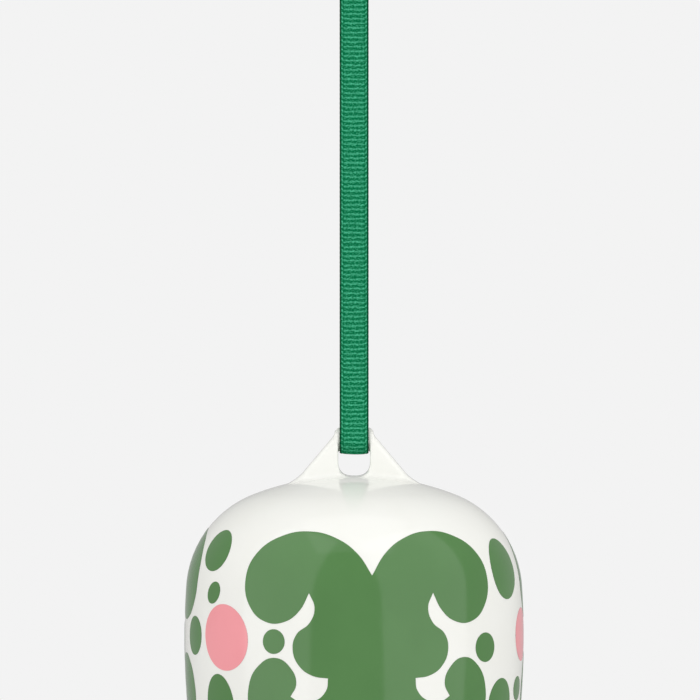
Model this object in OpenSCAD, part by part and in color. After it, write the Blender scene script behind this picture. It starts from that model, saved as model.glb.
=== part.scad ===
// Hanging porcelain bell on a loop of grosgrain ribbon.
// Millimetres, +Z up. The origin is the inside top of the ribbon loop, where a hook carries it.
// The bell hangs upright below it on the Z axis, with the flat faces of its lug towards -Y and +Y.

/* [Bell] */
// Diameter at the widest level of the bell
bell_d = 70; // [60:0.5:86]
// Height from the lip to the top of the crown, without the lug
bell_h = 75; // [62:0.5:92]
// Depth of the widest level below the top of the crown
belly_drop = 33.5; // [29:0.5:41]
// How much wider the lip is than the widest level
lip_spread = 1; // [0:0.5:6]
// Wall thickness of the porcelain
wall_t = 3; // [2.2:0.1:3.8]
// Radius of the dome on top
crown_r = 58; // [50:1:70]
// Radius of the round shoulder
shoulder_r = 21.8; // [17:0.2:27]
// Radius of the barrel curve down the side
belly_r = 170; // [120:5:260]
// Radius of the outward curve that ends at the lip
flare_r = 100; // [60:5:160]

/* [Lug] */
// Height of the cross bar's centre above the top of the crown
bar_rise = 7.5; // [6.6:0.1:10]
// Radius of the round cross bar that rides in the ribbon
bar_r = 2.4; // [2:0.05:2.9]
// Clear width of the ribbon hole
hole_w = 6.6; // [6.4:0.1:9]
// Radius of the lug's round crest
crest_r = 4.6; // [4:0.1:6]
// Width of the short flat on top of the crest
crest_gap = 1.2; // [0.4:0.1:3]
// Slope of the lug's straight flanks, in degrees
flank_slope = 50; // [44:1:56]
// Radius of the hollow in which each flank runs into the crown
flank_r = 8; // [6:0.5:12]
// Width of the lug's foot on the crown
foot_w = 27; // [22:0.5:30]
// Depth of the lug, front to back, where it meets the crown
foot_depth = 8.6; // [7:0.1:12]

/* [Ribbon] */
// Width of the ribbon
ribbon_w = 6; // [5:0.1:6.2]
// Thickness of the ribbon
ribbon_t = 0.5; // [0.3:0.05:0.5]
// Distance between the hook and the centre of the cross bar
ribbon_drop = 104; // [104:1:104]

/* [Clapper] */
// Radius of the clapper eye's porcelain rod
eye_rod_r = 1.3; // [1:0.05:1.6]
// Radius of the clapper eye's bend, to the middle of its rod
eye_bend_r = 3.4; // [3:0.1:4.5]
// Clear height in the clapper eye, from its rod to the crown's inside
eye_gap = 5; // [4:0.1:7]
// Wire radius of the jump ring
ring_wire_r = 0.5; // [0.4:0.05:0.6]
// Inside diameter of the jump ring
ring_bore = 5.4; // [4.6:0.1:6.6]
// Wire radius of the clapper pin
pin_r = 0.45; // [0.35:0.05:0.55]
// Inside diameter of the clapper pin's eye
pin_eye_bore = 2.5; // [2.2:0.1:3]
// Diameter of the porcelain bead
bead_d = 17; // [13:0.5:20]
// Height of the bead's centre above the lip
bead_z = 18.5; // [14:0.5:24]
// Diameter of the bead's two flats
bead_flat_d = 4; // [3:0.1:5]
// Diameter of the pin's flat head
head_d = 3.6; // [2.6:0.1:5]
// Thickness of the pin's flat head
head_t = 0.7; // [0.5:0.1:1]
// Outside diameter of the crimp tube
crimp_d = 2.2; // [1.8:0.1:3]
// Length of the crimp tube
crimp_l = 2; // [1.5:0.1:3]

/* [Hidden] */
$fn = 96;

PORCELAIN = "#f4f5ef";
BRASS = "#c9a45a";
RIBBON_GREEN = "#1b8256";
THREAD_GREEN = "#0f6b43";

// Clearances
link_gap = 0.15;   // between wires and rods that hang in one another
bead_gap = 0.1;    // around the pin in the bead's bore
crimp_gap = 0.02;  // around the pin in the crimp tube
leg_extra = 0.2;   // how much rounder the lug's legs are than its cross bar
crest_cover = 0.1; // how far the crest stands over the cross bar
bar_root = 1;      // how far the cross bar runs into each leg
cut = 1;           // how far a cutting shape runs past what it cuts

// Levels on the hanging axis
bar_z = -ribbon_drop;
crown_z = bar_z - bar_rise;
lip_z = crown_z - bell_h;

// The point where two circles cross, on the left of the line from the first centre to the second
function crossing(c1, r1, c2, r2) =
    let (line = c2 - c1, d = norm(line), a = (r1 * r1 - r2 * r2 + d * d) / (2 * d),
         h = sqrt(r1 * r1 - a * a), u = line / d)
    c1 + a * u + h * [-u[1], u[0]];
function heading(from, to) = atan2(to[1] - from[1], to[0] - from[0]);
function on_circle(c, r, angle) = c + r * [cos(angle), sin(angle)];

// Points along an arc, close enough together that its chords stay within chord_gap of it. The
// last point is left out, because the next arc starts there
chord_gap = 0.02;
function arc(c, r, from, to) =
    let (n = ceil(abs(to - from) / (2 * acos(1 - chord_gap / r))))
    [for (i = [0 : n - 1]) on_circle(c, r, from + (to - from) * i / n)];
function reversed(points) = [for (i = [len(points) - 1 : -1 : 0]) points[i]];

// Side of the bell, as [radius, height above the lip]: dome, shoulder, barrel and flare, each
// arc tangent to the next. The lip is a full round, cut flat so that the bell can stand on it
lip_round = wall_t / 2;
lip_cut = 0.85 * lip_round;
lip_edge = [(bell_d + lip_spread) / 2, lip_cut];
dome_c = [0, bell_h - crown_r];
belly_c = [bell_d / 2 - belly_r, bell_h - belly_drop];
shoulder_c = crossing(belly_c, belly_r - shoulder_r, dome_c, crown_r - shoulder_r);
flare_c = crossing(belly_c, belly_r + flare_r, lip_edge, flare_r);
dome_end = heading(dome_c, shoulder_c);
shoulder_end = heading(belly_c, shoulder_c);
belly_end = heading(belly_c, flare_c);
lip_end = 180 + asin((flare_c[1] - lip_cut) / (flare_r + lip_round));
lip_c = on_circle(flare_c, flare_r + lip_round, lip_end);

// The side of the bell from the top of the crown to the lip, set inwards by t
function bell_side(t) = concat(
    arc(dome_c, crown_r - t, 90, dome_end),
    arc(shoulder_c, shoulder_r - t, dome_end, shoulder_end),
    arc(belly_c, belly_r - t, shoulder_end, belly_end),
    arc(flare_c, flare_r + t, 180 + belly_end, lip_end));

// Lug outline, as [x, height above the crown]: a round crest, and on each side a straight flank
// that runs through a hollow into the crown. The hollow touches both the flank and the crown
crest_c = [crest_gap / 2, bar_rise + bar_r + crest_cover - crest_r];
dome_mid = [0, -crown_r];
leg_r = bar_r + leg_extra;
flank_out = on_circle([0, 0], 1, 90 - flank_slope);
flank_down = [flank_out[1], -flank_out[0]];
flank_start = crest_c + (crest_r + flank_r) * flank_out - dome_mid;
flank_run = -flank_start * flank_down
    - sqrt(pow(flank_start * flank_down, 2) - flank_start * flank_start + pow(crown_r + flank_r, 2));
flank_c = dome_mid + flank_start + flank_run * flank_down;
// The lug starts this far down, below the crown's surface all over its foot
lug_base = -foot_w * foot_w / crown_r;
function lug_half() = concat(
    [[flank_c[0], lug_base]],
    arc(flank_c, flank_r, heading(flank_c, dome_mid), -90 - flank_slope),
    [flank_c - flank_r * flank_out],
    arc(crest_c, crest_r, 90 - flank_slope, 90),
    [on_circle(crest_c, crest_r, 90)]);

// Clapper chain, as heights above the lip: each link hangs in the one above it
ceiling_z = bell_h - wall_t;
eye_z = ceiling_z - eye_gap - eye_rod_r;
ring_r = ring_bore / 2 + ring_wire_r;
ring_z = eye_z + eye_rod_r + link_gap + ring_wire_r - ring_r;
link_z = ring_z - ring_r;
pin_eye_r = pin_eye_bore / 2 + pin_r;
pin_eye_z = link_z + ring_wire_r + link_gap + pin_r - pin_eye_r;
bead_r = bead_d / 2;
bead_half = sqrt(bead_r * bead_r - bead_flat_d * bead_flat_d / 4);
bead_top = bead_z + bead_half;
bead_foot = bead_z - bead_half;

// Middle line of the ribbon, as [y, z]: up from its hidden end behind the bell, under the bar,
// up the front, over the hook, and down the back to the lap
RIBBON_ROUTE = [
    [2.75, -84], [2.75, -90], [2.75, -97], [2.75, -104],
    [2.6, -104.95], [2.1, -105.75], [1.4, -106.4], [0.5, -106.7], [-0.5, -106.7],
    [-1.4, -106.4], [-2.1, -105.75], [-2.6, -104.95], [-2.75, -104],
    [-2.75, -97], [-2.75, -70], [-2.75, -40], [-2.75, -10], [-2.75, -2.5],
    [-2.6, -1.55], [-2.1, -0.75], [-1.4, -0.1], [-0.5, 0.2], [0.5, 0.2],
    [1.4, -0.1], [2.1, -0.75], [2.6, -1.55], [2.75, -2.5],
    [2.75, -10], [2.75, -40], [2.75, -70], [2.75, -77], [2.85, -79],
    [3.2, -82], [3.3, -84], [3.3, -96]];
lap_back_y = 3.3;
lap_front_y = 2.75;
// Heights of the two rows of stitches through the lap
STITCH_ROWS = [-86.5, -93.5];
stitch_count = 4;
stitch_l = 1;
stitch_pitch = 1.3;
stitch_w = 0.32;
stitch_t = 0.2;
edge_bevel = 0.12;

// Places its children, which are drawn with the lip at z = 0, on the hanging axis
module on_lip() { translate([0, 0, lip_z]) children(); }

// A round rod bent into an arc in the XZ plane, around the origin
module bent_rod(bend_r, rod_r, from, sweep) {
    rotate([90, 0, 0]) rotate_extrude(start = from, angle = sweep)
        translate([bend_r, 0]) circle(rod_r);
}

module bell_shell() {
    flat = asin(lip_cut / lip_round);
    lip = concat(arc(lip_c, lip_round, lip_end - 180, -flat), [on_circle(lip_c, lip_round, -flat)],
                 arc(lip_c, lip_round, flat - 180, lip_end - 360));
    color(PORCELAIN) on_lip() rotate_extrude()
        polygon(concat(bell_side(0), lip, [on_circle(lip_c, lip_round, lip_end)],
                       reversed(bell_side(wall_t))));
}

// The space that the bell and its inside take up together, from the lip upwards
module bell_outside() { rotate_extrude() polygon(concat([[0, 0]], bell_side(0))); }

// The space inside the bell
module bell_inside() { rotate_extrude() polygon(concat([[0, 0]], bell_side(wall_t))); }

// Front view of the lug
module lug_outline() {
    polygon(concat(lug_half(), [for (p = reversed(lug_half())) [-p[0], p[1]]]));
}

// Side view of the lug's legs: straight faces that run tangent into a round top
module lug_side() {
    tip = [0, bar_rise];
    foot = [foot_depth / 2, 0];
    lean = heading(foot, tip) - asin(leg_r / norm(tip - foot));
    low = foot + (lug_base / sin(lean)) * [cos(lean), sin(lean)];
    polygon(concat([[-low[0], low[1]], low], arc(tip, leg_r, lean - 90, 270 - lean),
                   [on_circle(tip, leg_r, 270 - lean)]));
}

module hanging_lug() {
    deep = foot_w + foot_depth;
    color(PORCELAIN) translate([0, 0, crown_z]) difference() {
        intersection() {
            rotate([90, 0, 0]) linear_extrude(height = deep, center = true) lug_outline();
            union() {
                difference() {
                    rotate([90, 0, 90]) linear_extrude(height = foot_w, center = true) lug_side();
                    translate([-hole_w / 2, -deep / 2, lug_base - cut]) cube([hole_w, deep, bell_h]);
                }
                translate([0, 0, bar_rise]) rotate([0, 90, 0])
                    cylinder(r = bar_r, h = hole_w + 2 * bar_root, center = true);
            }
        }
        translate([0, 0, -bell_h]) bell_outside();
    }
}

module clapper_eye() {
    bend_z = eye_z + eye_bend_r;
    color(PORCELAIN) on_lip() intersection() {
        union() {
            translate([0, 0, bend_z]) bent_rod(eye_bend_r, eye_rod_r, 180, 180);
            for (side = [-1, 1]) translate([side * eye_bend_r, 0, bend_z])
                cylinder(r = eye_rod_r, h = bell_h - bend_z);
        }
        bell_inside();
    }
}

module jump_ring() {
    slit = 0.1;
    color(BRASS) on_lip() translate([0, 0, ring_z]) difference() {
        rotate([0, 0, 90]) bent_rod(ring_r, ring_wire_r, 0, 360);
        translate([-ring_r, 0, -slit / 2]) cube([2 * ring_r, 2 * ring_r, slit]);
    }
}

module clapper_pin() {
    color(BRASS) on_lip() {
        translate([0, 0, pin_eye_z]) bent_rod(pin_eye_r, pin_r, 0, 360);
        translate([0, 0, bead_foot]) cylinder(r = pin_r, h = pin_eye_z - pin_eye_r - bead_foot);
        translate([0, 0, bead_foot - head_t]) cylinder(d = head_d, h = head_t);
    }
}

module clapper_bead() {
    color(PORCELAIN) on_lip() translate([0, 0, bead_z]) difference() {
        intersection() {
            sphere(bead_r);
            cylinder(r = bead_r + cut, h = 2 * bead_half, center = true);
        }
        cylinder(r = pin_r + bead_gap, h = bead_d + cut, center = true);
    }
}

module bead_crimp() {
    color(BRASS) on_lip() translate([0, 0, bead_top]) difference() {
        cylinder(d = crimp_d, h = crimp_l);
        translate([0, 0, -cut]) cylinder(r = pin_r + crimp_gap, h = crimp_l + 2 * cut);
    }
}

// Cross-section of the ribbon, as [across its width, through its thickness]
function ribbon_section() =
    let (w = ribbon_w / 2, t = ribbon_t / 2, b = edge_bevel)
    [[w, b - t], [w, t - b], [w - b, t], [b - w, t], [-w, t - b], [-w, b - t], [b - w, -t], [w - b, -t]];

// One ring of ribbon corners at point i of a route in the YZ plane
function ribbon_ring(route, i) =
    let (ahead = route[min(i + 1, len(route) - 1)], behind = route[max(i - 1, 0)],
         along = (ahead - behind) / norm(ahead - behind))
    [for (p = ribbon_section())
        [p[0], route[i][0] - p[1] * along[1], route[i][1] + p[1] * along[0]]];

module ribbon_loop() {
    sides = len(ribbon_section());
    last = (len(RIBBON_ROUTE) - 1) * sides;
    points = [for (i = [0 : len(RIBBON_ROUTE) - 1]) each ribbon_ring(RIBBON_ROUTE, i)];
    walls = [for (i = [0 : len(RIBBON_ROUTE) - 2], k = [0 : sides - 1])
        [i * sides + k, i * sides + (k + 1) % sides,
         (i + 1) * sides + (k + 1) % sides, (i + 1) * sides + k]];
    color(RIBBON_GREEN) polyhedron(points,
        concat(walls, [[for (k = [sides - 1 : -1 : 0]) k]], [[for (k = [0 : sides - 1]) last + k]]));
}

module seam_thread() {
    row_l = (stitch_count - 1) * stitch_pitch + stitch_l;
    for (z = STITCH_ROWS, i = [0 : stitch_count - 1]) color(THREAD_GREEN)
        translate([i * stitch_pitch - row_l / 2, 0, z - stitch_w / 2]) {
            translate([0, lap_back_y + ribbon_t / 2, 0]) cube([stitch_l, stitch_t, stitch_w]);
            translate([0, lap_front_y - ribbon_t / 2 - stitch_t, 0]) cube([stitch_l, stitch_t, stitch_w]);
        }
}

bell_shell();
hanging_lug();
clapper_eye();
jump_ring();
clapper_pin();
clapper_bead();
bead_crimp();
ribbon_loop();
seam_thread();
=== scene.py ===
"""Looks of a porcelain bell that hangs on a loop of grosgrain ribbon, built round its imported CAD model."""

import logging
import math
from collections.abc import Callable, Iterable, Sequence
from dataclasses import dataclass, field
from enum import Enum

import bpy
import numpy as np
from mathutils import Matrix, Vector


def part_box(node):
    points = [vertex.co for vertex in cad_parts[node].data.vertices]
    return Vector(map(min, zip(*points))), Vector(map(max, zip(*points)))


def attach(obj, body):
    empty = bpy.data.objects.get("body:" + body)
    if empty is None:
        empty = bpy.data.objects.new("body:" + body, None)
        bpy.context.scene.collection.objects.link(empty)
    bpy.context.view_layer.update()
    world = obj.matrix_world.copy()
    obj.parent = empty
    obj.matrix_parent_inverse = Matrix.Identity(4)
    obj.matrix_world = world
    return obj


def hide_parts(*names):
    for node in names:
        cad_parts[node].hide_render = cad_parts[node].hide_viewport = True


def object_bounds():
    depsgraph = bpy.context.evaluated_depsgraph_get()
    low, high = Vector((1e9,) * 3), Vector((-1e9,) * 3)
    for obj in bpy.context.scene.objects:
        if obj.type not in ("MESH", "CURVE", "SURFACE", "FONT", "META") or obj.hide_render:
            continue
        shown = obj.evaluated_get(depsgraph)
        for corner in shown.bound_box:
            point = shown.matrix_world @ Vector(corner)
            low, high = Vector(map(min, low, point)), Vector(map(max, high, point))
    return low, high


MM = 0.001
TAU = math.tau
MERGE = 1e-6

log = logging.getLogger("bell")

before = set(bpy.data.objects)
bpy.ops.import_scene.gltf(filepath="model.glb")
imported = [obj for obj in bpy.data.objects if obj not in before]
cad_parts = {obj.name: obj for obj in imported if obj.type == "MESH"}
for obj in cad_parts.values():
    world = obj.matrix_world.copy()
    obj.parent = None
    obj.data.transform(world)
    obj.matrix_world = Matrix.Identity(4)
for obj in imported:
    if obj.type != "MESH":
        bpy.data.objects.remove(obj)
cad_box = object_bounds()


class Body(Enum):
    """The moving bodies of the bell."""

    RIBBON = "ribbon"
    BELL = "bell"
    RING = "ring"
    CLAPPER = "clapper"


class Slot(Enum):
    """The material slots of the record."""

    PORCELAIN = "porcelain"
    BRASS = "brass_wire"
    GROSGRAIN = "grosgrain"
    THREAD = "sewing_thread"


# ------------------------------------------------------------------------------------------------
# Hand work: selecting, spinning, sweeping, joining


def pick(*pieces: bpy.types.Object) -> None:
    """Selects only these pieces, the first of them active."""
    bpy.ops.object.select_all(action="DESELECT")
    for piece in pieces:
        piece.select_set(True)
    bpy.context.view_layer.objects.active = pieces[0]


def edit(piece: bpy.types.Object) -> None:
    """Opens a piece in edit mode with all of it selected."""
    pick(piece)
    bpy.ops.object.mode_set(mode="EDIT")
    bpy.ops.mesh.select_mode(type="VERT")
    bpy.ops.mesh.select_all(action="SELECT")


def edit_faces(piece: bpy.types.Object) -> None:
    """Opens a piece in edit mode with the faces selected that were selected in code."""
    pick(piece)
    bpy.ops.object.mode_set(mode="EDIT")


def leave_edit() -> None:
    """Goes back to object mode."""
    bpy.ops.object.mode_set(mode="OBJECT")


def apply_modifier(piece: bpy.types.Object, kind: str, **settings: object) -> None:
    """Adds a modifier to a piece and applies it.

    Args:
        piece: The piece to change.
        kind: Blender's name of the modifier.
        settings: Values of the modifier.
    """
    pick(piece)
    modifier = piece.modifiers.new(kind.title(), kind)
    for name, value in settings.items():
        setattr(modifier, name, value)
    bpy.ops.object.modifier_apply(modifier=modifier.name)


def join(name: str, *pieces: bpy.types.Object) -> bpy.types.Object:
    """Joins pieces into the first of them.

    Args:
        name: Name of the joined piece.
        pieces: The pieces to join.

    Returns:
        The joined piece.
    """
    pick(*pieces)
    if len(pieces) > 1:
        bpy.ops.object.join()
    pieces[0].name = name
    pieces[0].data.name = name
    return pieces[0]


def smooth(piece: bpy.types.Object, sharper_than: float | None = None) -> None:
    """Shades a piece smooth, or smooth only over edges flatter than an angle in degrees."""
    pick(piece)
    if sharper_than is None:
        bpy.ops.object.shade_smooth()
    else:
        bpy.ops.object.shade_smooth_by_angle(angle=math.radians(sharper_than))


def spin(name: str, outline: Sequence[Sequence[float]], steps: int, closed: bool = True) -> bpy.types.Object:
    """Extrudes one vertex along an outline and spins it round the Z axis.

    Args:
        name: Name of the piece.
        outline: Points of radius and height in millimetres.
        steps: Number of steps in the turn.
        closed: Whether the spun skin has no open edge, so that its outside can be found.

    Returns:
        The spun piece, at the origin.
    """
    bpy.ops.object.select_all(action="DESELECT")
    bpy.ops.mesh.primitive_plane_add(size=MM)
    piece = bpy.context.object
    edit(piece)
    bpy.ops.mesh.merge(type="CENTER")
    at = (0.0, 0.0)
    for number, point in enumerate(outline):
        move = ((point[0] - at[0]) * MM, 0, (point[1] - at[1]) * MM)
        if number:
            bpy.ops.mesh.extrude_region_move(TRANSFORM_OT_translate={"value": move})
        else:
            bpy.ops.transform.translate(value=move)
        at = point
    bpy.ops.mesh.select_all(action="SELECT")
    bpy.ops.mesh.spin(steps=steps, angle=TAU, center=(0, 0, 0), axis=(0, 0, 1))
    bpy.ops.mesh.select_all(action="SELECT")
    bpy.ops.mesh.remove_doubles(threshold=MERGE)
    if closed:
        bpy.ops.mesh.normals_make_consistent(inside=False)
    leave_edit()
    return join(name, piece)


def sweep(name: str, line: Sequence[Sequence[float]], radii: Sequence[float] | float, sides: int = 24,
          ring: bool = False) -> bpy.types.Object:
    """Sweeps a round rod along a line.

    Args:
        name: Name of the piece.
        line: Points of the rod's middle line in millimetres.
        radii: One radius, or one for each point, in millimetres.
        sides: Number of sides of the rod, a multiple of four.
        ring: Whether the line closes on itself.

    Returns:
        The rod as a closed mesh.
    """
    curve = bpy.data.curves.new(name, "CURVE")
    curve.dimensions = "3D"
    curve.bevel_depth = MM
    curve.bevel_resolution = sides // 4 - 1
    curve.use_fill_caps = True
    spline = curve.splines.new("POLY")
    spline.points.add(len(line) - 1)
    spline.use_cyclic_u = ring
    each = radii if isinstance(radii, Sequence) else [radii] * len(line)
    for point, place, radius in zip(spline.points, line, each, strict=True):
        point.co = (*(c * MM for c in place), 1)
        point.radius = radius
    piece = bpy.data.objects.new(name, curve)
    bpy.context.scene.collection.objects.link(piece)
    pick(piece)
    bpy.ops.object.convert(target="MESH")
    piece = bpy.context.object
    edit(piece)
    bpy.ops.mesh.remove_doubles(threshold=MERGE)
    bpy.ops.mesh.normals_make_consistent(inside=False)
    leave_edit()
    smooth(piece, 50)
    return join(name, piece)


def turned(points: Iterable[Sequence[float]], centre: Sequence[float]) -> list[tuple[float, ...]]:
    """Moves points of a plane curve, given as across and up, to a centre in the XZ plane."""
    return [(centre[0] + a, centre[1], centre[2] + b) for a, b in points]


def circle_points(radius: float, start: float, stop: float, count: int) -> list[tuple[float, float]]:
    """Points on an arc round the origin, from one angle to another in degrees, both included."""
    angles = np.radians(np.linspace(start, stop, count))
    return [(radius * math.cos(a), radius * math.sin(a)) for a in angles]


def through(points: Sequence[Sequence[float]], step: float) -> np.ndarray:
    """A smooth line through points, at even steps.

    Args:
        points: The points to pass through.
        step: Distance between the returned points, in the points' own unit.

    Returns:
        An array with one row for each point of the line.
    """
    knots = np.asarray(points, float)
    padded = np.vstack([2 * knots[0] - knots[1], knots, 2 * knots[-1] - knots[-2]])
    pieces = []
    for a, b, c, d in zip(padded, padded[1:], padded[2:], padded[3:]):
        ta, tb, tc = (math.sqrt(np.linalg.norm(q - p)) for p, q in ((a, b), (b, c), (c, d)))
        slope_b = ((b - a) / ta - (c - a) / (ta + tb) + (c - b) / tb) * tb
        slope_c = ((c - b) / tb - (d - b) / (tb + tc) + (d - c) / tc) * tb
        t = np.linspace(0, 1, max(4, int(np.linalg.norm(c - b) / step * 2)), endpoint=False)[:, None]
        pieces.append((2 * t**3 - 3 * t**2 + 1) * b + (t**3 - 2 * t**2 + t) * slope_b
                      + (3 * t**2 - 2 * t**3) * c + (t**3 - t**2) * slope_c)
    line = np.vstack([*pieces, knots[-1:]])
    along = np.r_[0, np.cumsum(np.linalg.norm(np.diff(line, axis=0), axis=1))]
    wanted = np.linspace(0, along[-1], int(round(along[-1] / step)) + 1)
    return np.column_stack([np.interp(wanted, along, line[:, k]) for k in range(line.shape[1])])


def vertices(piece: bpy.types.Object) -> np.ndarray:
    """The places of a piece's vertices, in metres."""
    places = np.zeros(len(piece.data.vertices) * 3)
    piece.data.vertices.foreach_get("co", places)
    return places.reshape(-1, 3)


def place_vertices(piece: bpy.types.Object, places: np.ndarray) -> None:
    """Moves a piece's vertices to places in metres."""
    piece.data.vertices.foreach_set("co", np.ascontiguousarray(places, float).ravel())
    piece.data.update()


# ------------------------------------------------------------------------------------------------
# Finishes


class Shader:
    """The nodes of one material, with short calls that add and link them."""

    def __init__(self, name: str) -> None:
        """Starts a material that has one principled surface."""
        self.material = bpy.data.materials.new(name)
        self.material.use_nodes = True
        self.tree = self.material.node_tree
        self.surface = self.tree.nodes["Principled BSDF"]

    def feed(self, socket: bpy.types.NodeSocket, value: object) -> None:
        """Links a value to a socket if it is a socket itself, or else sets it."""
        if isinstance(value, bpy.types.NodeSocket):
            self.tree.links.new(value, socket)
        else:
            socket.default_value = value

    def add(self, kind: str, inputs: dict[str | int, object], **settings: object) -> bpy.types.Node:
        """Adds a node.

        Args:
            kind: The node's type, without its ShaderNode prefix.
            inputs: Values or sockets for its inputs.
            settings: Values of its properties.

        Returns:
            The node.
        """
        node = self.tree.nodes.new("ShaderNode" + kind)
        for name, value in settings.items():
            setattr(node, name, value)
        for name, value in inputs.items():
            self.feed(node.inputs[name], value)
        return node

    def math(self, operation: str, *values: object, clamp: bool = False) -> bpy.types.NodeSocket:
        """The result of a math node."""
        return self.add("Math", dict(enumerate(values)), operation=operation, use_clamp=clamp).outputs[0]

    def place(self) -> bpy.types.NodeSocket:
        """The point on the piece, in metres."""
        return self.add("TexCoord", {}).outputs["Object"]

    def noise(self, vector: bpy.types.NodeSocket, scale: float, detail: float = 3.0) -> bpy.types.NodeSocket:
        """Soft noise from 0 to 1, with a scale in patches for each unit of the vector."""
        return self.add("TexNoise", {"Vector": vector, "Scale": scale, "Detail": detail}).outputs["Fac"]

    def blend(self, factor: object, low: Sequence[float], high: object) -> bpy.types.NodeSocket:
        """A colour between two colours."""
        node = self.add("Mix", {0: factor, 6: low, 7: high}, data_type="RGBA")
        return node.outputs[2]

    def between(self, value: object, source: Sequence[float], target: Sequence[float],
                soft: bool = False) -> bpy.types.NodeSocket:
        """A value of one range carried over to another."""
        kind = "SMOOTHSTEP" if soft else "LINEAR"
        node = self.add("MapRange", {"Value": value, "From Min": source[0], "From Max": source[1],
                                     "To Min": target[0], "To Max": target[1]}, interpolation_type=kind)
        return node.outputs["Result"]

    def bump(self, height: bpy.types.NodeSocket, distance: float, strength: float = 1.0) -> None:
        """Raises the surface by a height, in metres for each unit."""
        node = self.add("Bump", {"Height": height, "Distance": distance, "Strength": strength})
        self.feed(self.surface.inputs["Normal"], node.outputs["Normal"])

    def see_through_from_behind(self) -> None:
        """Makes the back of the surface clear."""
        out = self.tree.nodes["Material Output"]
        mix = self.add("MixShader", {0: self.add("NewGeometry", {}).outputs["Backfacing"],
                                     1: self.surface.outputs["BSDF"],
                                     2: self.add("BsdfTransparent", {}).outputs["BSDF"]})
        self.tree.links.new(mix.outputs[0], out.inputs["Surface"])

    def finish(self, **inputs: object) -> bpy.types.Material:
        """Sets the surface's own inputs, named with underscores, and returns the material."""
        for name, value in inputs.items():
            self.feed(self.surface.inputs[name.replace("_", " ")], value)
        return self.material


def dress(piece: bpy.types.Object, material: bpy.types.Material, body: Body,
          stands_for: Sequence[str] = ()) -> bpy.types.Object:
    """Gives a finished piece its material and body.

    Args:
        piece: The piece, at the origin.
        material: Its finish.
        body: The body that it rides on.
        stands_for: The CAD nodes that it replaces.

    Returns:
        The piece.
    """
    piece.data.materials.clear()
    piece.data.materials.append(material)
    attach(piece, body.value)
    if stands_for:
        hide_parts(*stands_for)
    piece.data.calc_loop_triangles()
    log.info("%s: %d triangles on %s", piece.name, len(piece.data.loop_triangles), body.value)
    return piece


@dataclass(frozen=True)
class Glaze:
    """Clear glaze over porcelain or over a colour painted on it.

    Attributes:
        name: Name of the material.
        colour: Colour under the glaze.
        thin: The colour where the glaze or paint is thinner.
        gloss: Roughness of the glaze.
        bare_below: Height in metres under which the foot of the bell is left unglazed.
    """

    name: str
    colour: tuple[float, float, float, float]
    thin: tuple[float, float, float, float]
    gloss: float = 0.11
    bare_below: float | None = None
    bare: tuple[float, float, float, float] = (0.74, 0.70, 0.63, 1)

    def material(self) -> bpy.types.Material:
        """Makes the material."""
        shader = Shader(self.name)
        place = shader.place()
        clouds = shader.between(shader.noise(place, 70, 4), (0.35, 0.65), (0, 1), soft=True)
        specks = shader.between(shader.noise(place, 2600, 2), (0.70, 0.80), (0, 0.35))
        colour = shader.blend(clouds, self.colour, self.thin)
        rough = shader.between(shader.noise(place, 260, 2), (0.3, 0.7), (self.gloss - 0.02, self.gloss + 0.02))
        if self.bare_below is not None:
            height = shader.add("SeparateXYZ", {0: place}).outputs["Z"]
            wander = shader.math("MULTIPLY", shader.noise(place, 400, 3), 0.25 * MM)
            glazed = shader.between(shader.math("SUBTRACT", height, wander),
                                    (self.bare_below - 0.1 * MM, self.bare_below + 0.1 * MM), (0, 1), soft=True)
            grain = shader.blend(specks, self.bare, tuple(0.85 * c for c in self.bare[:3]) + (1,))
            colour = shader.blend(glazed, grain, colour)
            rough = shader.between(glazed, (0, 1), (0.75, self.gloss))
        ripple = shader.noise(place, 420, 1)
        shader.bump(ripple, 0.004 * MM)
        return shader.finish(Base_Color=colour, Roughness=rough, IOR=1.5)


@dataclass(frozen=True)
class BrassWire:
    """Drawn brass with a little tarnish."""

    name: str = "drawn_brass"
    bright: tuple[float, float, float, float] = (0.80, 0.56, 0.24, 1)
    dull: tuple[float, float, float, float] = (0.42, 0.27, 0.10, 1)

    def material(self) -> bpy.types.Material:
        """Makes the material."""
        shader = Shader(self.name)
        place = shader.place()
        stain = shader.between(shader.noise(place, 900, 5), (0.42, 0.68), (0, 1), soft=True)
        marks = shader.noise(shader.add("Mapping", {"Vector": place, "Scale": (1, 1, 0.08)}).outputs[0], 9000, 2)
        shader.bump(marks, 0.01 * MM)
        return shader.finish(Base_Color=shader.blend(stain, self.bright, self.dull), Metallic=1.0,
                             Roughness=shader.between(stain, (0, 1), (0.2, 0.48)))


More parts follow.
